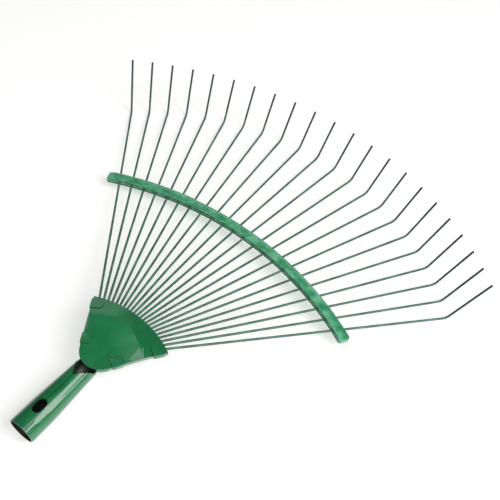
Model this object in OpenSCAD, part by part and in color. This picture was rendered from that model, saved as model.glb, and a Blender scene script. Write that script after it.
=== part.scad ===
// Fan rake head: 22 sprung wire tines held between a pressed base and a cover, with a spreader bar.
// The origin is the centre of the socket's mouth. +X runs forward over the tines and +Z is up.
// The head lies at rest on level ground, on the socket's lip and on the knees of all the tines.

/* [Socket] */
// Inside diameter of the parallel part at the mouth, for a one inch pole
socket_bore = 25.4; // [20:0.2:34]
// Thickness of the sheet that makes the socket and the base plate
base_t = 1.2; // [0.8:0.1:2]
// Length of the parallel part behind the mouth
socket_straight = 25; // [18:1:45]
// Outside diameter where the tube meets the cover
socket_small_d = 21.5; // [16:0.5:26]
// Distance that the seam opens out ahead of the cover's round end
seam_mouth = 16.2; // [8:0.2:30]
// Half angle of the opening at the end of the seam
seam_angle = 35; // [25:1:50]
// Width of the seam's slit
seam_gap = 0.5; // [0.3:0.1:1.5]

/* [Screw slot] */
// Distance from the mouth to the middle of the screw slot
slot_from_mouth = 24; // [16:0.5:40]
// Length of the screw slot
slot_len = 15; // [8:0.5:24]
// Width of the screw slot
slot_w = 9.6; // [4:0.2:12]

/* [Plates] */
// Distance from the mouth to the front edge of the plates
plate_front = 150.7; // [120:0.5:185]
// Half of the width across the front corners
plate_half_w = 47; // [38:0.5:58]
// Distance from the front edge back to the corners
corner_back = 13; // [8:0.5:20]
// Radius of the curved front edge
front_r = 115; // [90:1:160]
// Radius of the round end over the socket
end_r = 20.8; // [15:0.2:26]
// Distance from the front edge back to the centre of the round end
end_back = 50.2; // [40:0.2:62]
// Height of the cover's top face above the socket's axis
plate_level = 5.7; // [4:0.1:8]
// Thickness of the cover
cover_t = 1; // [0.7:0.1:1.8]
// Radius of the pressed fold line where the plates turn down
fold_r = 50; // [44:0.5:60]
// Distance from the front edge back to the fold line
fold_back = 14.3; // [10:0.1:20]
// Depth of the groove pressed along the fold line
groove_depth = 0.35; // [0.1:0.05:0.6]
// Gap round the cover's edge
edge_gap = 0.1; // [0.05:0.05:0.4]

/* [Tabs] */
// Thickness of the folded tabs
tab_t = 0.9; // [0.6:0.1:1.4]
// Width of the rounded corner tabs
corner_tab_w = 11; // [8:0.5:14]
// Reach of the corner tabs over the cover
corner_tab_len = 12; // [8:0.5:16]
// Width of the square side tabs
side_tab_w = 10.5; // [7:0.5:14]
// Reach of the side tabs over the cover
side_tab_len = 8.5; // [6:0.5:12]
// Distance from the corner to the side tabs
side_tab_from_corner = 41; // [28:0.5:46]

/* [Tines] */
// Diameter of the tine wire
wire_d = 2.6; // [1.8:0.1:3.2]
// Gap between the wire and each plate
grip_gap = 0.2; // [0.1:0.05:0.4]
// Distance from the plates' front edge back to the tine ends inside
root_back = 18; // [16:0.5:24]
// Radius of the curve that the hidden ends lie on
root_r = 51; // [45:1:70]
// Distance from the plates' straight sides in to the nearest hidden ends
root_margin = 7.95; // [6:0.1:12]
// Distance from the plates' front edge to the line of knees
knee_ahead = 359.5; // [290:0.5:430]
// Radius of the line of knees
knee_r = 306; // [250:1:380]
// Angle that the wire turns through at the knee
knee_bend = 68.8; // [45:0.2:90]
// Bend radius of the wire's centre line
knee_bend_r = 7; // [4:0.5:14]
// Length of the hook on the middle tines
hook_mid = 53.5; // [40:0.5:70]
// Length of the hook on the outer tines
hook_outer = 67.5; // [45:0.5:85]

/* [Spreader bar] */
// Distance from the plates' front edge to the middle of the bar
bar_ahead = 172.6; // [140:0.2:210]
// Radius of the bar's curve
bar_r = 368; // [300:1:450]
// Distance between holes along the bar
hole_pitch = 15.2; // [12.5:0.1:18.5]
// Width of the bar
bar_w = 13.3; // [9:0.1:18]
// Sheet thickness of the bar
bar_t = 0.9; // [0.6:0.1:1.5]
// Height that the bar's side walls reach below the wire
bar_below = 1; // [0.6:0.1:3]
// Length of bar beyond the last hole
bar_overhang = 14.5; // [8:0.5:24]
// Corner radius of the bar's ends
bar_corner_r = 3; // [2:0.2:6]
// Gap round a wire in its hole
hole_gap = 0.15; // [0.05:0.05:0.4]

/* [Rest] */
// Slope of the socket above level ground
rest_tilt = 7.1; // [4:0.1:10]

/* [Hidden] */
$fn = 64;
tines = 22;
eps = 0.01;
far = 400;

paint_dark = [0.07, 0.42, 0.24];
paint_wire = [0.16, 0.44, 0.30];
paint_bar = [0.24, 0.56, 0.38];

// Socket radii
bore_r = socket_bore / 2;
mouth_r = bore_r + base_t;
small_r = socket_small_d / 2;
cover_back = plate_front - end_back - end_r;
tube_end = cover_back + 1.5;
seam_apex = cover_back - seam_mouth;

// Plate levels
plate_gap = wire_d + 2 * grip_gap;
cover_low = plate_level - cover_t;
base_top = cover_low - plate_gap;
base_low = base_top - base_t;
wire_level = cover_low - plate_gap / 2;
wire_r = wire_d / 2;
// The hidden root is a little slimmer than the wire outside, and laps a short way into it
root_ease = 0.12;
root_lap = 0.2;

// Plan of the plates
end_x = plate_front - end_back;
corner_x = plate_front - corner_back;
corner_reach = sqrt(pow(corner_x - end_x, 2) + pow(plate_half_w, 2));
side_angle = atan2(plate_half_w, corner_x - end_x) - asin(end_r / corner_reach);
fold_x = plate_front - fold_back - fold_r;
nose_x = plate_front - root_back - 10;
nose_r = base_t + 0.8;

// Plan of the tines. side(i) runs from 1 at the first tine to -1 at the last.
half_pitch = (tines - 1) / 2;
root_x = plate_front - root_back - root_r;
root_turn = side_angle + asin((plate_half_w * cos(side_angle) - root_margin
                               - (corner_x - root_x) * sin(side_angle)) / root_r);
root_half = root_r * sin(root_turn);
bar_x = plate_front + bar_ahead - bar_r;
knee_x = plate_front + knee_ahead - knee_r;

function side(i) = (half_pitch + 1 - i) / half_pitch;
function root_pt(i) = let (y = side(i) * root_half) [root_x + sqrt(root_r * root_r - y * y), y];
function bar_angle(i) = side(i) * half_pitch * hole_pitch / bar_r * 180 / PI;
function bar_pt(i) = [bar_x + bar_r * cos(bar_angle(i)), bar_r * sin(bar_angle(i))];
function aim(i) = let (p = root_pt(i), q = bar_pt(i)) atan2(q[1] - p[1], q[0] - p[0]);
// Distance from a tine's hidden end to where it crosses a circle centred on the middle line
function reach(i, cx, r) =
    let (p = root_pt(i), a = aim(i), dx = p[0] - cx,
         b = dx * cos(a) + p[1] * sin(a), c = dx * dx + p[1] * p[1] - r * r)
    -b + sqrt(b * b - c);
function fold_at(i) = reach(i, fold_x, fold_r);
function bar_at(i) = norm(bar_pt(i) - root_pt(i));
function knee_at(i) = reach(i, knee_x, knee_r);
function spot(i, s) = let (p = root_pt(i), a = aim(i)) [p[0] + s * cos(a), p[1] + s * sin(a)];
// Height of a wire's centre when it touches the ground at distance x from the mouth
function ground(x) = -mouth_r - x * tan(rest_tilt) + wire_r / cos(rest_tilt);
function drop(i) = wire_level - ground(spot(i, knee_at(i))[0]);
function slope(i) = atan2(drop(i), knee_at(i) - fold_at(i));
function hook(i) = hook_mid + (hook_outer - hook_mid) * pow(side(i), 2);
function bar_height(i) = wire_level - (bar_at(i) - fold_at(i)) * tan(slope(i));

function edge_at(i) = reach(i, plate_front - front_r, front_r);
// Drop of a tine at the plates' front edge, for each unit that the plates run out past the fold
function fall(i) =
    let (p = spot(i, edge_at(i)))
    (edge_at(i) - fold_at(i)) * tan(slope(i)) / (norm([p[0] - fold_x, p[1]]) - fold_r);
falls = [for (i = [1 : tines / 2]) fall(i)];
// The cover follows the flattest tine and the base the steepest, so every wire clears both
cover_fall = min(falls);
base_fall = max(falls);
bar_tops = [for (i = [1 : tines / 2]) bar_height(i)];
bar_z = max(bar_tops);
bar_slope = slope(tines / 2);
bar_half_angle = bar_angle(1) + (bar_overhang - bar_corner_r) / bar_r * 180 / PI;
bar_high = wire_r + hole_gap + bar_t;
end_ease = 0.02;
bar_low = wire_r + bar_below + (bar_z - min(bar_tops));

// Everything is drawn with the socket along X, then tipped up to rest on the ground.
module at_rest() {
    rotate([0, -rest_tilt, 0]) children();
}

// A solid whose plan is that of the plates, drawn in by the given amount
module plate_plan(inset = 0, front_more = 0) {
    r = end_r - inset;
    run = 90;
    tangent = [end_x - r * sin(side_angle), r * cos(side_angle)];
    tip = [tangent[0] + run * cos(side_angle), tangent[1] + run * sin(side_angle)];
    intersection() {
        translate([plate_front - front_r, 0, -30])
            cylinder(r = front_r - inset + front_more, h = 60, $fn = 120);
        translate([0, 0, -30])
            linear_extrude(60)
                polygon([tangent, tip, [tip[0], -tip[1]], [tangent[0], -tangent[1]]]);
    }
    translate([end_x, 0, -30])
        cylinder(r = r, h = 60);
}

// A sheet that is flat inside the fold line and slopes down outside it
module skin(low, high, low_fall, high_fall) {
    run = 60;
    translate([fold_x, 0, 0])
        rotate_extrude($fn = 120)
            polygon([[0, low], [fold_r, low], [fold_r + run, low - run * low_fall],
                     [fold_r + run, high - run * high_fall], [fold_r, high], [0, high]]);
}

// Places a child on the edge of the plates, x along the edge from the corner and y outward
module on_edge(way) {
    mirror([0, way < 0 ? 1 : 0, 0])
        translate([corner_x, plate_half_w, 0])
            rotate([0, 0, side_angle])
                children();
}

module tab_over(from, wide, len, is_round) {
    translate([-from - wide, is_round ? -len + wide / 2 : -len, -30])
        cube([wide, is_round ? len - wide / 2 : len, 60]);
    if (is_round)
        translate([-from - wide / 2, -len + wide / 2, -30])
            cylinder(r = wide / 2, h = 60);
}

// A tab wraps round the edge: rooted in the rim, up the outside, then over the cover
module tab(way, from, wide, len, is_round) {
    root = base_t / 2;
    intersection() {
        skin(plate_level, plate_level + tab_t, cover_fall, cover_fall);
        on_edge(way) {
            tab_over(from, wide, len, is_round);
            translate([-from - wide, -root, -30])
                cube([wide, tab_t + root, 60]);
        }
    }
    intersection() {
        skin(cover_low - 1, plate_level + tab_t, cover_fall, cover_fall);
        on_edge(way)
            translate([-from - wide, edge_gap / 2, -30])
                cube([wide, tab_t - edge_gap / 2, 60]);
    }
    intersection() {
        skin(base_low, cover_low - edge_gap, base_fall, cover_fall);
        on_edge(way)
            translate([-from - wide, -root, -30])
                cube([wide, tab_t + root, 60]);
    }
}

// The socket, its tapering tube and the gutter that runs out under the base plate
module socket_shell() {
    rotate([0, 90, 0])
        rotate_extrude($fn = 96)
            polygon([[bore_r, 0], [mouth_r, 0], [mouth_r, socket_straight], [small_r, tube_end],
                     [nose_r, nose_x], [nose_r - base_t, nose_x],
                     [small_r - base_t, tube_end], [bore_r, socket_straight]]);
}

// The space inside the tube and the gutter, made wider all round by the given amount
module gutter_inside(more) {
    rotate([0, 90, 0])
        rotate_extrude($fn = 96)
            polygon([[0, socket_straight], [bore_r + more, socket_straight],
                     [small_r - base_t + more, tube_end],
                     [nose_r - base_t + more, nose_x], [0, nose_x]]);
}

module screw_slot() {
    flat = slot_len - slot_w;
    translate([slot_from_mouth, 0, 0]) {
        for (s = [-1, 1])
            translate([s * flat / 2, 0, 0])
                cylinder(d = slot_w, h = mouth_r + 10);
        translate([-flat / 2, -slot_w / 2, 0])
            cube([flat, slot_w, mouth_r + 10]);
    }
}

module seam() {
    run = tube_end - seam_apex + 8;
    translate([slot_from_mouth, -seam_gap / 2, 0])
        cube([seam_apex - slot_from_mouth + 2, seam_gap, mouth_r + 10]);
    translate([seam_apex, 0, base_top])
        linear_extrude(mouth_r + 10)
            polygon([[0, 0], [run, run * tan(seam_angle)], [run, -run * tan(seam_angle)]]);
}

module socket_plate() {
    color(paint_dark)
        at_rest() {
            difference() {
                socket_shell();
                screw_slot();
                seam();
                translate([cover_back, -far / 2, base_low + base_t / 2])
                    cube([far, far, far]);
            }
            difference() {
                intersection() {
                    skin(base_low, base_top, base_fall, base_fall);
                    plate_plan();
                }
                gutter_inside(base_t / 2);
            }
            difference() {
                intersection() {
                    skin(base_top - eps, cover_low, base_fall, cover_fall);
                    plate_plan();
                }
                plate_plan(base_t, 20);
                translate([cover_back - 5, -small_r, -30])
                    cube([end_r, 2 * small_r, 60]);
            }
            for (way = [-1, 1]) {
                tab(way, 1, corner_tab_w, corner_tab_len, true);
                tab(way, side_tab_from_corner, side_tab_w, side_tab_len, false);
            }
        }
}

module cover_plate() {
    color(paint_dark)
        at_rest()
            difference() {
                intersection() {
                    skin(cover_low, plate_level, cover_fall, cover_fall);
                    plate_plan(edge_gap);
                }
                translate([fold_x, 0, plate_level + 1.5 - groove_depth])
                    rotate_extrude($fn = 120)
                        translate([fold_r, 0])
                            circle(r = 1.5, $fn = 32);
            }
}

// Section of the bar: x is outward from the centre of its curve, y is up from the wire
module bar_section(inside) {
    w = inside ? bar_w - 2 * bar_t : bar_w;
    top = inside ? bar_high - bar_t : bar_high;
    bottom = inside ? -bar_low - 2 : -bar_low;
    translate([bar_r, bar_z])
        rotate(-bar_slope)
            translate([-w / 2, bottom])
                square([w, top - bottom]);
}

// The rounded ends are smaller all round than the long part by a hair, which keeps the two apart
module bar_end(inside) {
    w = (inside ? bar_w - 2 * bar_t : bar_w) - 2 * end_ease;
    r = inside ? bar_corner_r - bar_t : bar_corner_r;
    top = (inside ? bar_high - bar_t : bar_high) - end_ease;
    bottom = inside ? -bar_low - 2 : -bar_low + end_ease;
    translate([bar_r, 0, bar_z])
        rotate([0, bar_slope, 0])
            translate([0, 0, bottom]) {
                for (s = [-1, 1])
                    translate([s * (w / 2 - r), 0, 0])
                        cylinder(r = r, h = top - bottom);
                translate([-w / 2 + r, -1, 0])
                    cube([w - 2 * r, r + 1, top - bottom]);
            }
}

module bar_form(inside) {
    rotate([0, 0, -bar_half_angle])
        rotate_extrude(angle = 2 * bar_half_angle, $fn = 360)
            bar_section(inside);
    for (way = [-1, 1])
        mirror([0, way < 0 ? 1 : 0, 0])
            rotate([0, 0, bar_half_angle])
                bar_end(inside);
}

module spreader_bar() {
    color(paint_bar)
        at_rest()
            difference() {
                translate([bar_x, 0, 0])
                    difference() {
                        bar_form(false);
                        bar_form(true);
                    }
                for (i = [1 : tines])
                    along_tine(i)
                        translate([bar_at(i) - fold_at(i) - 30, 0, 0])
                            rotate([0, 90, 0])
                                cylinder(r = wire_r + hole_gap, h = 60, $fn = 24);
            }
}

// Puts the origin where the tine leaves the flat of the plates, with x along the sloping wire
module along_tine(i) {
    p = spot(i, fold_at(i));
    translate([p[0], p[1], wire_level])
        rotate([0, 0, aim(i)])
            rotate([0, slope(i), 0])
                children();
}

// One tine: a flat root between the plates, a long straight sloping down, and the hooked tip
module tine(i) {
    p = root_pt(i);
    long = (knee_at(i) - fold_at(i)) / cos(slope(i));
    set = knee_bend_r * tan(knee_bend / 2);
    color(paint_wire)
        at_rest() {
            translate([p[0], p[1], wire_level])
                rotate([0, 0, aim(i)])
                    rotate([0, 90, 0])
                        cylinder(r = wire_r - root_ease, h = fold_at(i) + root_lap, $fn = 24);
            along_tine(i)
                translate([long - set, 0, 0]) {
                    rotate([0, -90, 0])
                        cylinder(r = wire_r, h = long - set + root_lap, $fn = 24);
                    translate([0, 0, knee_bend_r])
                        rotate([90, 0, 0])
                            rotate([0, 0, -90])
                                rotate_extrude(angle = knee_bend, $fn = 96)
                                    translate([knee_bend_r, 0])
                                        circle(r = wire_r, $fn = 24);
                    translate([0, 0, knee_bend_r])
                        rotate([0, -knee_bend, 0])
                            translate([0, 0, -knee_bend_r])
                                rotate([0, 90, 0])
                                    cylinder(r = wire_r, h = hook(i) - set, $fn = 24);
                }
        }
}

socket_plate();
cover_plate();
spreader_bar();
tine(1);  // tine_01
tine(2);  // tine_02
tine(3);  // tine_03
tine(4);  // tine_04
tine(5);  // tine_05
tine(6);  // tine_06
tine(7);  // tine_07
tine(8);  // tine_08
tine(9);  // tine_09
tine(10);  // tine_10
tine(11);  // tine_11
tine(12);  // tine_12
tine(13);  // tine_13
tine(14);  // tine_14
tine(15);  // tine_15
tine(16);  // tine_16
tine(17);  // tine_17
tine(18);  // tine_18
tine(19);  // tine_19
tine(20);  // tine_20
tine(21);  // tine_21
tine(22);  // tine_22
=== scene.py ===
import math

import bmesh
import bpy
from mathutils import Matrix, Vector, noise


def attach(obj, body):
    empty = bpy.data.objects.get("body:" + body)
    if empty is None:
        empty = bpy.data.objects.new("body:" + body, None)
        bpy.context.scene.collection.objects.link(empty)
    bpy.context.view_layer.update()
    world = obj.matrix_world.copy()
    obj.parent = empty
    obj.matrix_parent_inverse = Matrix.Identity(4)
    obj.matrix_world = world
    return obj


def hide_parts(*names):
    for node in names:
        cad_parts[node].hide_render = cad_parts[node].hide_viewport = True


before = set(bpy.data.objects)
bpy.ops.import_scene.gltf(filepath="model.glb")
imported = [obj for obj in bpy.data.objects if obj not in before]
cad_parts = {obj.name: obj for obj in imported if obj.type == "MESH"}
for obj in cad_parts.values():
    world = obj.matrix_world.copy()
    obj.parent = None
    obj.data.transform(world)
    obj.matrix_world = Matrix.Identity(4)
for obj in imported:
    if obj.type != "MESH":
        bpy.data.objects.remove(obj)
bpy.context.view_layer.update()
print("frame loaded:", len(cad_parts), "nodes")


# small helpers

def mm(value):
    return value / 1000


def letGo():
    if bpy.context.object and bpy.context.object.mode != "OBJECT":
        bpy.ops.object.mode_set(mode="OBJECT")
    bpy.ops.object.select_all(action="DESELECT")


def pickOnly(obj):
    letGo()
    obj.select_set(True)
    bpy.context.view_layer.objects.active = obj


def startEdit(obj, kind="VERT"):
    pickOnly(obj)
    bpy.ops.object.mode_set(mode="EDIT")
    bpy.ops.mesh.select_mode(type=kind)


def dropAll(mesh):
    for part in (mesh.faces, mesh.edges, mesh.verts):
        for item in part:
            item.select = False


def pickVerts(obj, test):
    # in edit mode, picks the vertices whose place passes the test
    mesh = bmesh.from_edit_mesh(obj.data)
    dropAll(mesh)
    for vert in mesh.verts:
        if test(vert.co):
            vert.select = True
    mesh.select_flush(True)
    bmesh.update_edit_mesh(obj.data)


def pickEdges(obj, test):
    # in edit mode, picks the edges that pass the test
    mesh = bmesh.from_edit_mesh(obj.data)
    bpy.ops.mesh.select_mode(type="EDGE")
    dropAll(mesh)
    for edge in mesh.edges:
        if test(edge):
            edge.select = True
    mesh.select_flush_mode()
    bmesh.update_edit_mesh(obj.data)


def pushOut(x, y, z):
    bpy.ops.mesh.extrude_region_move(TRANSFORM_OT_translate={"value": (x, y, z)})


def applyAll(obj):
    pickOnly(obj)
    for modifier in list(obj.modifiers):
        bpy.ops.object.modifier_apply(modifier=modifier.name)


def putInPlace(obj, matrix):
    # the place goes into the mesh and the object stays at the origin
    pickOnly(obj)
    obj.matrix_world = matrix
    bpy.ops.object.transform_apply(location=True, rotation=True, scale=True)


def finishPiece(obj, name, material, slotName, *nodes, smoothBelow=35):
    pickOnly(obj)
    obj.name = name
    obj.data.name = name
    if not obj.data.materials:
        obj.data.materials.append(material)
    bpy.ops.object.shade_smooth_by_angle(angle=math.radians(smoothBelow))
    letGo()
    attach(obj, "root")
    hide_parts(*nodes)


# layout of the fan, in millimetres, with the socket level
fan = {
    "tines": 22,
    "restTilt": 7.1,          # degrees that the socket slopes up from the ground
    "plateFront": 150.7,
    "mouthRadius": 13.9,
    "wireLevel": 3.2,         # height of the wires between the plates
    "rootBack": 18.0,
    "rootRadius": 51.0,
    "rootHalf": 29.1,
    "foldRadius": 50.0,
    "foldBack": 14.3,
    "kneeAhead": 359.5,
    "kneeRadius": 306.0,
    "barAhead": 172.6,
    "barRadius": 368.0,
    "holePitch": 15.2,
    "wireRadius": 1.3,
}
tilt = math.radians(fan["restTilt"])
atRest = Matrix.Rotation(-tilt, 4, "Y")
halfPitch = (fan["tines"] - 1) / 2
rootX = fan["plateFront"] - fan["rootBack"] - fan["rootRadius"]
foldX = fan["plateFront"] - fan["foldBack"] - fan["foldRadius"]
kneeX = fan["plateFront"] + fan["kneeAhead"] - fan["kneeRadius"]
barX = fan["plateFront"] + fan["barAhead"] - fan["barRadius"]


def side(i):
    # 1 at the first tine, -1 at the last
    return (halfPitch + 1 - i) / halfPitch


def rootPoint(i):
    y = side(i) * fan["rootHalf"]
    return rootX + math.sqrt(fan["rootRadius"] ** 2 - y * y), y


def barAngle(i):
    return side(i) * halfPitch * fan["holePitch"] / fan["barRadius"]


def barPoint(i):
    turn = barAngle(i)
    return barX + fan["barRadius"] * math.cos(turn), fan["barRadius"] * math.sin(turn)


def aim(i):
    start, end = rootPoint(i), barPoint(i)
    return math.atan2(end[1] - start[1], end[0] - start[0])


def reach(i, centreX, radius):
    # distance along a tine from its hidden end to a circle
    start, turn = rootPoint(i), aim(i)
    dx = start[0] - centreX
    b = dx * math.cos(turn) + start[1] * math.sin(turn)
    c = dx * dx + start[1] ** 2 - radius ** 2
    return -b + math.sqrt(b * b - c)


def foldAt(i):
    return reach(i, foldX, fan["foldRadius"])


def kneeAt(i):
    return reach(i, kneeX, fan["kneeRadius"])


def barAt(i):
    start, end = rootPoint(i), barPoint(i)
    return math.hypot(end[0] - start[0], end[1] - start[1])


def spot(i, along):
    start, turn = rootPoint(i), aim(i)
    return start[0] + along * math.cos(turn), start[1] + along * math.sin(turn)


def heightAt(i, along):
    # height of a tine's centre line, at a distance from its hidden end
    return fan["wireLevel"] - (along - foldAt(i)) * math.tan(slope(i))


def slope(i):
    x = spot(i, kneeAt(i))[0]
    ground = -fan["mouthRadius"] - x * math.tan(tilt) + fan["wireRadius"] / math.cos(tilt)
    return math.atan2(fan["wireLevel"] - ground, kneeAt(i) - foldAt(i))


# materials

def linear(hexColour):
    parts = [int(hexColour[k:k + 2], 16) / 255 for k in (1, 3, 5)]
    curve = [p / 12.92 if p <= 0.04045 else ((p + 0.055) / 1.055) ** 2.4 for p in parts]
    return tuple(curve) + (1.0,)


def addNode(material, kind, settings=None, links=None, **options):
    node = material.node_tree.nodes.new(kind)
    for name, value in options.items():
        setattr(node, name, value)
    for name, value in (settings or {}).items():
        node.inputs[name].default_value = value
    for name, source in (links or {}).items():
        material.node_tree.links.new(source, node.inputs[name])
    return node


def newMaterial(name):
    material = bpy.data.materials.new(name)
    material.use_nodes = True
    material.node_tree.nodes.clear()
    return material


def setRamp(node, stops):
    ramp = node.color_ramp
    stops = list(stops)
    while len(ramp.elements) < len(stops):
        ramp.elements.new(0.5)
    for element, (place, colour) in zip(ramp.elements, stops):
        element.position = place
        element.color = colour


def grey(value):
    return (value, value, value, 1.0)


mixFactor, mixA, mixB, mixColour = 0, 6, 7, 2   # a colour mix's sockets share names

coatGrain = {
    "driftStops": (0.36, 0.5, 0.64),
    "driftRough": 0.55,
    "edgeStops": (0.52, 0.6),       # how sharp an edge is when the paint thins over it
    "peelDepth": 0.05,              # millimetres
    "rippleDepth": 0.4,
    "glossStops": (0.3, 0.7),
    "paintIor": 1.5,
    "cornerSamples": 8,
}


def paint(name, look):
    # Green enamel: a thin skin of gloss paint over steel, with a little orange peel,
    # slow drifts of colour where it lies thicker, and thinner, paler paint along the edges.
    # Painted shade darkens the corners, and wherever a piece maps it.
    material = newMaterial(name)
    place = addNode(material, "ShaderNodeTexCoord").outputs["Object"]
    drift = addNode(material, "ShaderNodeTexNoise",
                    {"Scale": 1 / mm(look["driftSize"]), "Detail": 3.0,
                     "Roughness": coatGrain["driftRough"]},
                    {"Vector": place})
    base = addNode(material, "ShaderNodeValToRGB", links={"Fac": drift.outputs["Fac"]})
    tones = [linear(look[tone]) for tone in ("dark", "main", "pale")]
    setRamp(base, zip(coatGrain["driftStops"], tones))

    shape = addNode(material, "ShaderNodeNewGeometry")
    edge = addNode(material, "ShaderNodeValToRGB", links={"Fac": shape.outputs["Pointiness"]})
    setRamp(edge, zip(coatGrain["edgeStops"], (grey(0.0), grey(look["edgeWear"]))))
    thin = addNode(material, "ShaderNodeMix", {mixB: linear(look["edge"])},
                   {mixFactor: edge.outputs["Color"], mixA: base.outputs["Color"]},
                   data_type="RGBA")
    # painted shade: an occlusion mask darkens the colour towards the corner tone where faces meet
    corner = addNode(material, "ShaderNodeAmbientOcclusion",
                     {"Distance": mm(look["cornerReach"])}, samples=coatGrain["cornerSamples"])
    shade = addNode(material, "ShaderNodeValToRGB", links={"Fac": corner.outputs["AO"]})
    setRamp(shade, [(look["cornerFrom"], grey(1.0)), (look["cornerTo"], grey(0.0))])
    cornerShaded = addNode(material, "ShaderNodeMix", {mixB: linear(look["corner"])},
                    {mixFactor: shade.outputs["Color"], mixA: thin.outputs[mixColour]},
                    data_type="RGBA")
    # painted shade: a piece may carry its own map of shade, from 0 to 1, which darkens its colour
    # towards the shade tone
    mappedShade = addNode(material, "ShaderNodeAttribute", attribute_name="shadeMap")
    coated = addNode(material, "ShaderNodeMix", {mixB: linear(look["mappedShade"])},
                     {mixFactor: mappedShade.outputs["Fac"], mixA: cornerShaded.outputs[mixColour]},
                     data_type="RGBA")

    peel = addNode(material, "ShaderNodeTexNoise",
                   {"Scale": 1 / mm(look["peelSize"]), "Detail": 2.0}, {"Vector": place})
    ripple = addNode(material, "ShaderNodeTexNoise",
                     {"Scale": 1 / mm(look["rippleSize"]), "Detail": 1.0}, {"Vector": place})
    fine = addNode(material, "ShaderNodeBump",
                   {"Strength": look["peel"], "Distance": mm(coatGrain["peelDepth"])},
                   {"Height": peel.outputs["Fac"]})
    broad = addNode(material, "ShaderNodeBump",
                    {"Strength": look["ripple"], "Distance": mm(coatGrain["rippleDepth"])},
                    {"Height": ripple.outputs["Fac"], "Normal": fine.outputs["Normal"]})
    fromLow, fromHigh = coatGrain["glossStops"]
    rough = addNode(material, "ShaderNodeMapRange",
                    {"From Min": fromLow, "From Max": fromHigh,
                     "To Min": look["roughLow"], "To Max": look["roughHigh"]},
                    {"Value": drift.outputs["Fac"]})
    skin = addNode(material, "ShaderNodeBsdfPrincipled",
                   {"Metallic": 0.0, "IOR": coatGrain["paintIor"],
                    "Specular IOR Level": look["gloss"],
                    "Coat Weight": look["coat"], "Coat Roughness": look["coatRough"]},
                   {"Base Color": coated.outputs[mixColour],
                    "Roughness": rough.outputs["Result"], "Normal": broad.outputs["Normal"]})
    addNode(material, "ShaderNodeOutputMaterial", links={"Surface": skin.outputs["BSDF"]})
    return material


# each look also holds two tones of painted shade: one for corners, one for a piece's shade map
# sizes in millimetres: glossy and deep on the plates and the socket
sheetLook = {
    "dark": "#02653a", "main": "#046e3d", "pale": "#0e7746", "driftSize": 38,
    "edge": "#3c9668", "edgeWear": 0.3, "mappedShade": "#0a2b1c",
    "corner": "#0a2b1c", "cornerReach": 3.0, "cornerFrom": 0.5, "cornerTo": 0.84,
    "peel": 0.12, "peelSize": 1.6, "ripple": 0.14, "rippleSize": 26,
    "roughLow": 0.26, "roughHigh": 0.36, "coat": 1.0, "coatRough": 0.07, "gloss": 0.45,
}
# paler and mottled over the pressed bar: the paler tone is painted sheen for the light the bar
# catches at a grazing angle, and the mottling varies at random
barSheenLook = {
    "dark": "#348b5f", "main": "#49a073", "pale": "#6cb78f", "driftSize": 12,
    "edge": "#94cfae", "edgeWear": 0.4, "mappedShade": "#081a11",
    "corner": "#0c2c1d", "cornerReach": 2.0, "cornerFrom": 0.4, "cornerTo": 0.8,
    "peel": 0.3, "peelSize": 1.4, "ripple": 0.8, "rippleSize": 8,
    "roughLow": 0.4, "roughHigh": 0.55, "coat": 0.0, "coatRough": 0.25, "gloss": 0.22,
}
# greyer on the dipped wires, with painted shade darkening the hooks
wireLook = {
    "dark": "#355c4a", "main": "#416d5a", "pale": "#527d6a", "driftSize": 14,
    "edge": "#5c8a75", "edgeWear": 0.15, "mappedShade": "#101a16",
    "corner": "#1c352a", "cornerReach": 1.2, "cornerFrom": 0.3, "cornerTo": 0.7,
    "peel": 0.3, "peelSize": 1.2, "ripple": 0.1, "rippleSize": 9,
    "roughLow": 0.34, "roughHigh": 0.48, "coat": 0.1, "coatRough": 0.3, "gloss": 0.5,
}
sheetEnamel = paint("alkydEnamelSheet", sheetLook)
barEnamel = paint("alkydEnamelBar", barSheenLook)
wireEnamel = paint("dippedEnamelWire", wireLook)


boreShadeLook = {
    "blotchSize": 2.2,
    "dark": "#0f1311",
    "pale": "#3b3d36",
    "stops": (0.35, 0.65),
    "relief": 0.3,
    "reliefDepth": 0.05,
    "rough": 0.36,
    "ior": 1.5,
}


def boreShadePaint():
    # Inside of the rolled tube: painted shade, a near-black blotchy material that stands in for the
    # shade deep in the bore, with a dull sheen.
    material = newMaterial("nearBlackBoreShade")
    place = addNode(material, "ShaderNodeTexCoord").outputs["Object"]
    blotches = addNode(material, "ShaderNodeTexNoise",
                     {"Scale": 1 / mm(boreShadeLook["blotchSize"]), "Detail": 4.0}, {"Vector": place})
    tone = addNode(material, "ShaderNodeValToRGB", links={"Fac": blotches.outputs["Fac"]})
    setRamp(tone, zip(boreShadeLook["stops"], (linear(boreShadeLook["dark"]), linear(boreShadeLook["pale"]))))
    relief = addNode(material, "ShaderNodeBump",
                     {"Strength": boreShadeLook["relief"], "Distance": mm(boreShadeLook["reliefDepth"])},
                     {"Height": blotches.outputs["Fac"]})
    scale = addNode(material, "ShaderNodeBsdfPrincipled",
                    {"Roughness": boreShadeLook["rough"], "IOR": boreShadeLook["ior"]},
                    {"Base Color": tone.outputs["Color"], "Normal": relief.outputs["Normal"]})
    addNode(material, "ShaderNodeOutputMaterial", links={"Surface": scale.outputs["BSDF"]})
    return material


boreShadeSurface = boreShadePaint()
print("materials made")


# the tines
wire = {
    "sides": 20,
    "foldBend": 8.0,       # centre-line radius where the wire leaves the plates
    "foldSteps": 4,
    "kneeBend": 7.0,       # centre-line radius at the knee
    "kneeTurn": 68.8,
    "kneeSteps": 14,
    "hookMiddle": 53.5,
    "hookOuter": 67.5,
    "tipRound": 0.55,      # share of the wire's radius
    "tipSteps": 3,
    "hookShade": 0.8,       # how dark the painted shade on the hooks gets
    "shadeBefore": 4.0,     # where the painted shade starts, before the knee
    "shadeOver": 10.0,      # and the length over which it grows
    "smoothBelow": 50,
}
hair = 1e-6                # metres, for telling places apart
weld = 1e-7


# painted shade: from just before the knee each hook darkens towards its tip, standing in for the
# shade on its upturned faces
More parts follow.
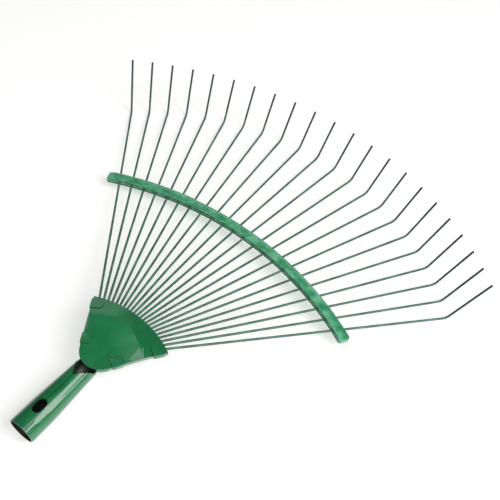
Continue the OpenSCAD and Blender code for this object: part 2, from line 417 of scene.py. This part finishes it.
def shadeOnHook(obj, i):
    knee = spot(i, kneeAt(i))
    kneeSpot = atRest @ Vector((mm(knee[0]), mm(knee[1]), mm(heightAt(i, kneeAt(i)))))
    kneeFrom = math.hypot(kneeSpot.x, kneeSpot.y)
    shadeMap = obj.data.attributes.new("shadeMap", "FLOAT", "POINT")
    for vert, value in zip(obj.data.vertices, shadeMap.data):
        beyond = math.hypot(vert.co.x, vert.co.y) - kneeFrom + mm(wire["shadeBefore"])
        value.value = wire["hookShade"] * min(max(beyond / mm(wire["shadeOver"]), 0), 1)


def makeTine(i):
    radius = fan["wireRadius"]
    fall = slope(i)
    turn = math.radians(wire["kneeTurn"])
    foldSet = wire["foldBend"] * math.tan(fall / 2)
    kneeSet = wire["kneeBend"] * math.tan(turn / 2)
    straight = (kneeAt(i) - foldAt(i)) / math.cos(fall) - foldSet - kneeSet
    longer = (wire["hookOuter"] - wire["hookMiddle"]) * side(i) ** 2
    hook = wire["hookMiddle"] + longer - kneeSet
    start = -foldAt(i)
    along = Vector((math.cos(fall), 0, -math.sin(fall)))
    above = Vector((math.sin(fall), 0, math.cos(fall)))
    rise = turn - fall
    upward = Vector((math.cos(rise), 0, math.sin(rise)))

    letGo()
    bpy.ops.mesh.primitive_circle_add(vertices=wire["sides"], radius=mm(radius),
                                      fill_type="NOTHING", location=(mm(start), 0, 0),
                                      rotation=(0, math.pi / 2, 0))
    obj = bpy.context.object
    bpy.ops.object.transform_apply(location=True, rotation=True, scale=True)
    startEdit(obj, "EDGE")
    bpy.ops.mesh.select_all(action="SELECT")
    pushOut(mm(-start - foldSet), 0, 0)                      # flat root between the plates
    bpy.ops.mesh.spin(steps=wire["foldSteps"], angle=-fall, axis=(0, 1, 0),
                      center=(mm(-foldSet), 0, -mm(wire["foldBend"])))
    pushOut(*(along * mm(straight)))                         # long straight
    kneeStart = along * mm(foldSet + straight)
    bpy.ops.mesh.spin(steps=wire["kneeSteps"], angle=turn, axis=(0, 1, 0),
                      center=kneeStart + above * mm(wire["kneeBend"]))
    pushOut(*(upward * mm(hook)))                            # hook
    bpy.ops.mesh.edge_face_add()
    bpy.ops.mesh.bevel(offset=mm(radius * wire["tipRound"]), segments=wire["tipSteps"],
                       affect="EDGES")
    pickVerts(obj, lambda co: co.x < mm(start) + hair)
    bpy.ops.mesh.edge_face_add()
    bpy.ops.mesh.select_all(action="SELECT")
    bpy.ops.mesh.remove_doubles(threshold=weld)
    bpy.ops.mesh.normals_make_consistent(inside=False)
    bpy.ops.object.mode_set(mode="OBJECT")
    x, y = spot(i, foldAt(i))
    putInPlace(obj, atRest @ Matrix.Translation((mm(x), mm(y), mm(fan["wireLevel"])))
               @ Matrix.Rotation(aim(i), 4, "Z"))
    shadeOnHook(obj, i)
    finishPiece(obj, "wireTine%02d" % i, wireEnamel, "wire_paint", "tine_%02d" % i,
                smoothBelow=wire["smoothBelow"])


for number in range(1, fan["tines"] + 1):
    makeTine(number)
print("tines made")


# the spreader bar
bar = {
    "width": 13.3,
    "sheet": 0.9,
    "above": 2.35,         # from the wire's centre to the top of the web
    "below": 1.0,          # of wall under the lowest wire
    "overhang": 14.5,
    "cornerRadius": 3.0,
    "bendRadius": 0.9,
    "bendSteps": 3,
    "sharpBend": 50,       # degrees past which an edge is a bend
    "uprightEdge": 0.7,    # an edge steeper than this is a joint in a wall, not a bend
    "stepsPerTine": 6,
    "rows": (-6.65, -6.5, -6.0, -5.1, -3.9, -2.4, -0.8, 0.8, 2.4, 3.9, 5.1, 6.0, 6.5, 6.65),
    "dent": 0.22,
    "dentHalf": 5.6,       # half of the width that the dents fade over
    "flatHalf": 5.5,       # half of the web between its bends
    "uneven": 0.12,
    "unevenScale": 120,    # patches per metre
    "holeRadius": 1.36,
    "holeSides": 20,
    "drillLength": 40,
    "wallDark": 0.97,
    "darkFrom": 6.2,       # from the middle of the web towards the socket
    "darkOver": 0.4,
    "joinGap": 0.02,
}
middleTine = fan["tines"] // 2
wireHeights = [heightAt(i, barAt(i)) for i in range(1, middleTine + 1)]
barLevel = max(wireHeights)
barFall = slope(middleTine)
barLow = fan["wireRadius"] + bar["below"] + barLevel - min(wireHeights)
barWall = bar["above"] + barLow
barHalfTurn = barAngle(1) + (bar["overhang"] - bar["cornerRadius"]) / fan["barRadius"]


def barSection(turn):
    # from a flat drawing of the channel's section to its place round the bar
    return (Matrix.Rotation(turn, 4, "Z")
            @ Matrix.Translation((mm(fan["barRadius"]), 0, mm(barLevel)))
            @ Matrix.Rotation(barFall, 4, "Y"))


def bendChannel():
    rows = bar["rows"]
    half = 0.5
    letGo()
    bpy.ops.mesh.primitive_plane_add(size=1, rotation=(math.pi / 2, 0, 0))
    obj = bpy.context.object
    obj.scale = (mm(2 * half), mm(barWall), 1)
    obj.location = (mm(rows[0] + half), 0, mm(bar["above"] - barWall / 2))
    bpy.ops.object.transform_apply(location=True, rotation=True, scale=True)
    startEdit(obj)
    pickVerts(obj, lambda co: co.x > mm(rows[0] + half))     # keeps the inner wall's edge
    bpy.ops.mesh.delete(type="VERT")
    pickVerts(obj, lambda co: co.z > 0)
    for before, after in zip(rows, rows[1:]):                # across the web
        pushOut(mm(after - before), 0, 0)
    pushOut(0, 0, -mm(barWall))                              # down the outer wall
    bpy.ops.object.mode_set(mode="OBJECT")
    putInPlace(obj, barSection(-barHalfTurn))
    startEdit(obj)
    bpy.ops.mesh.select_all(action="SELECT")
    stepLength = fan["holePitch"] / bar["stepsPerTine"]
    bpy.ops.mesh.spin(steps=round(2 * barHalfTurn * fan["barRadius"] / stepLength),
                      angle=-2 * barHalfTurn, axis=(0, 0, 1), center=(0, 0, 0))
    return obj


def roundEnd(obj, way):
    # the web runs on past the walls, then a wall is folded down from its rim
    local = barSection(way * barHalfTurn).inverted()
    ahead = Matrix.Rotation(way * barHalfTurn, 3, "Z") @ Vector((0, way, 0))
    down = barSection(way * barHalfTurn).to_3x3() @ Vector((0, 0, -1))

    def onEnd(co):
        p = local @ co
        return abs(p.y) < hair and p.z > mm(bar["above"]) - hair

    pickVerts(obj, onEnd)
    pushOut(0, 0, 0)
    mesh = bmesh.from_edit_mesh(obj.data)
    for vert in mesh.verts:
        if vert.select:
            across = abs((local @ vert.co).x) * 1000
            inner = max(across - (bar["width"] / 2 - bar["cornerRadius"]), 0)
            bulge = math.sqrt(max(bar["cornerRadius"] ** 2 - inner ** 2, 0))
            vert.co += ahead * mm(bulge)
    bmesh.update_edit_mesh(obj.data)
    pushOut(*(down * mm(barWall)))


def isBend(edge):
    if len(edge.link_faces) != 2 or edge.calc_face_angle() <= math.radians(bar["sharpBend"]):
        return False
    rise = (edge.verts[0].co - edge.verts[1].co).normalized().z
    return abs(rise) < bar["uprightEdge"]


def closeChannel(obj):
    bpy.ops.mesh.select_all(action="SELECT")
    bpy.ops.mesh.remove_doubles(threshold=mm(bar["joinGap"]))
    bpy.ops.mesh.normals_make_consistent(inside=False)
    mesh = bmesh.from_edit_mesh(obj.data)
    if sum(face.normal.z * face.calc_area() for face in mesh.faces) < 0:
        bpy.ops.mesh.flip_normals()                          # the open channel has to face up
    pickEdges(obj, isBend)
    bpy.ops.mesh.bevel(offset=mm(bar["bendRadius"]), segments=bar["bendSteps"], affect="EDGES")
    bpy.ops.object.mode_set(mode="OBJECT")


def lateralOf(co):
    # millimetres from the middle of the web, away from the socket
    return (math.hypot(co.x, co.y) - mm(fan["barRadius"])) * 1000


def pressDents(obj):
    # the web is pressed up a little over each wire, and no two spots are quite alike
    for vert in obj.data.vertices:
        lateral = lateralOf(vert.co)
        if abs(lateral) > bar["flatHalf"]:
            continue
        turn = math.atan2(vert.co.y, vert.co.x)
        near = (turn / (fan["holePitch"] / fan["barRadius"]) + 0.5) % 1 - 0.5
        fade = 1 - (lateral / bar["dentHalf"]) ** 2
        swell = math.cos(math.pi * near) ** 4 * fade
        vert.co.z -= mm(bar["dent"]) * (1 - swell) * fade
        patch = noise.noise(vert.co * bar["unevenScale"])
        vert.co.z -= mm(bar["uneven"]) * (patch + 0.5)


def drillHoles(obj):
    # one cutter holds all the holes that the tines run through
    letGo()
    cutters = []
    for i in range(1, fan["tines"] + 1):
        x, y = spot(i, barAt(i))
        bpy.ops.mesh.primitive_cylinder_add(vertices=bar["holeSides"],
                                            radius=mm(bar["holeRadius"]),
                                            depth=mm(bar["drillLength"]))
        cutter = bpy.context.object
        putInPlace(cutter, Matrix.Translation((mm(x - barX), mm(y), mm(heightAt(i, barAt(i)))))
                   @ Matrix.Rotation(aim(i), 4, "Z")
                   @ Matrix.Rotation(slope(i) + math.pi / 2, 4, "Y"))
        cutters.append(cutter)
    letGo()
    for cutter in cutters:
        cutter.select_set(True)
    bpy.context.view_layer.objects.active = cutters[0]
    bpy.ops.object.join()
    drill = bpy.context.object
    holes = obj.modifiers.new("holes", "BOOLEAN")
    holes.operation = "DIFFERENCE"
    holes.object = drill
    holes.solver = "EXACT"
    holes.use_self = True
    applyAll(obj)
    bpy.data.objects.remove(drill)


def darkenInnerWall(obj):
    # painted shade: the wall towards the socket is darkened in its colour, standing in for the
    # shade it lies in
    shadeMap = obj.data.attributes.new("shadeMap", "FLOAT", "POINT")
    for vert, value in zip(obj.data.vertices, shadeMap.data):
        inward = (-lateralOf(vert.co) - bar["darkFrom"]) / bar["darkOver"]
        value.value = bar["wallDark"] * min(max(inward, 0), 1)


def makeBar():
    obj = bendChannel()
    for way in (1, -1):
        roundEnd(obj, way)
    closeChannel(obj)
    pressDents(obj)
    wallSheet = obj.modifiers.new("sheet", "SOLIDIFY")
    wallSheet.thickness = mm(bar["sheet"])
    wallSheet.offset = -1
    applyAll(obj)
    drillHoles(obj)
    darkenInnerWall(obj)
    putInPlace(obj, atRest @ Matrix.Translation((mm(barX), 0, 0)))
    finishPiece(obj, "spreaderChannel", barEnamel, "bar_paint", "spreader_bar")


makeBar()
print("spreader bar made")


# the pressed plates and the socket
plates = {
    "edgeRound": 0.25,
    "edgeSteps": 2,
    "sharpEdge": 40,       # degrees past which a cut edge is rounded
    "flatWithin": 1.0,     # degrees within which facets are one face
    "weld": 0.001,
    "evenShading": 90,
    "tubeEnd": 118.0,
    "boreRadius": 12.8,
    "facesAxis": 0.3,      # how squarely a face of the bore looks at the axis
}


def isBore(centre, normal):
    # centre and normal of a face, with the socket level
    fromAxis = Vector((0, centre.y, centre.z))
    if centre.x >= mm(plates["tubeEnd"]) or fromAxis.length >= mm(plates["boreRadius"]):
        return False
    return fromAxis.length > hair and -normal.dot(fromAxis.normalized()) > plates["facesAxis"]


def softened(nodeName, pieceName):
    # a welded copy of the pressed sheet, with its cut edges rounded over
    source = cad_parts[nodeName]
    copy = source.copy()
    copy.data = source.data.copy()
    copy.parent = None
    for key in list(copy.keys()):
        del copy[key]
    bpy.context.scene.collection.objects.link(copy)
    copy.data.materials.clear()
    startEdit(copy)
    bpy.ops.mesh.customdata_custom_splitnormals_clear()
    bpy.ops.mesh.select_all(action="SELECT")
    bpy.ops.mesh.remove_doubles(threshold=mm(plates["weld"]))
    bpy.ops.mesh.dissolve_limited(angle_limit=math.radians(plates["flatWithin"]))
    bpy.ops.object.mode_set(mode="OBJECT")
    soft = copy.modifiers.new("edges", "BEVEL")
    soft.width = mm(plates["edgeRound"])
    soft.segments = plates["edgeSteps"]
    soft.limit_method = "ANGLE"
    soft.angle_limit = math.radians(plates["sharpEdge"])
    soft.harden_normals = False
    even = copy.modifiers.new("shading", "WEIGHTED_NORMAL")
    even.weight = plates["evenShading"]
    applyAll(copy)
    copy.data.materials.append(sheetEnamel)
    # the second slot is the near-black painted shade for the faces of the bore
    copy.data.materials.append(boreShadeSurface)
    level = atRest.inverted().to_3x3()
    for face in copy.data.polygons:
        if isBore(level @ face.center, level @ face.normal):
            face.material_index = 1
    finishPiece(copy, pieceName, sheetEnamel, "sheet_paint", nodeName)


softened("cover_plate", "coverSheet")
softened("socket_plate", "socketAndBase")
print("plates made")


# floor, light and camera, in metres
studio = {
    "floorSize": 8.0,
    "floorCentre": 0.3,
    "floorGap": 0.08,         # millimetres that the floor lies above the level mouth's lowest point
    "floorPaint": "#dddddb",
    "floorRough": 0.9,
    "floorGlow": 0.48,        # keeps the floor pale where the lights fall off
    "world": 0.12,
    # each soft box: place, the point it faces, size and watts
    "boxes": {
        "topBox": ((-1.35, -0.95, 2.6), (0.15, 0, 0), (2.7, 2.7), 44.0),
        "keyBox": ((1.85, 1.4, 1.22), (0.25, 0, 0), (1.7, 1.6), 5.2),
        "sideBox": ((0.38, -1.45, 1.34), (0.06, 0, 0), (1.1, 1.6), 29.0),
    },
}

letGo()
floorLevel = mm(studio["floorGap"] - fan["mouthRadius"])
bpy.ops.mesh.primitive_plane_add(size=studio["floorSize"],
                                 location=(studio["floorCentre"], 0, floorLevel))
floor = bpy.context.object
floor.name = "studioFloor"
bpy.ops.object.transform_apply(location=True, rotation=True, scale=True)
floorPaint = newMaterial("matteFloor")
matte = addNode(floorPaint, "ShaderNodeBsdfPrincipled",
                {"Base Color": linear(studio["floorPaint"]), "Roughness": studio["floorRough"],
                 "Emission Color": grey(1.0), "Emission Strength": studio["floorGlow"]})
addNode(floorPaint, "ShaderNodeOutputMaterial", links={"Surface": matte.outputs["BSDF"]})
floor.data.materials.append(floorPaint)

world = bpy.data.worlds.new("softStudio")
bpy.context.scene.world = world
world.use_nodes = True
sky = world.node_tree.nodes["Background"].inputs
sky["Color"].default_value = grey(1.0)
sky["Strength"].default_value = studio["world"]


def softBox(name, place, target, size, power):
    light = bpy.data.lights.new(name, "AREA")
    light.shape = "RECTANGLE"
    light.size, light.size_y = size
    light.energy = power
    lamp = bpy.data.objects.new(name, light)
    bpy.context.scene.collection.objects.link(lamp)
    lamp.location = place
    lamp.rotation_euler = (Vector(target) - Vector(place)).to_track_quat("-Z", "Y").to_euler()


for boxName, setting in studio["boxes"].items():
    softBox(boxName, *setting)

view = {
    "sensor": 36,
    "lens": 53.11,
    "place": (-0.18561, -0.25423, 0.61907),
    "forward": (0.60256, 0.28115, -0.74691),
    "up": (0.5429, 0.54158, 0.64184),
}
lens = bpy.data.cameras.new("productCamera")
lens.sensor_width = view["sensor"]
lens.lens = view["lens"]
camera = bpy.data.objects.new("productCamera", lens)
bpy.context.scene.collection.objects.link(camera)
forward = Vector(view["forward"]).normalized()
rightward = forward.cross(Vector(view["up"])).normalized()
upward = rightward.cross(forward)
turn = Matrix((rightward, upward, -forward)).transposed().to_4x4()
camera.matrix_world = Matrix.Translation(view["place"]) @ turn
bpy.context.scene.camera = camera
bpy.context.scene.view_settings.view_transform = "Standard"
print("studio made")
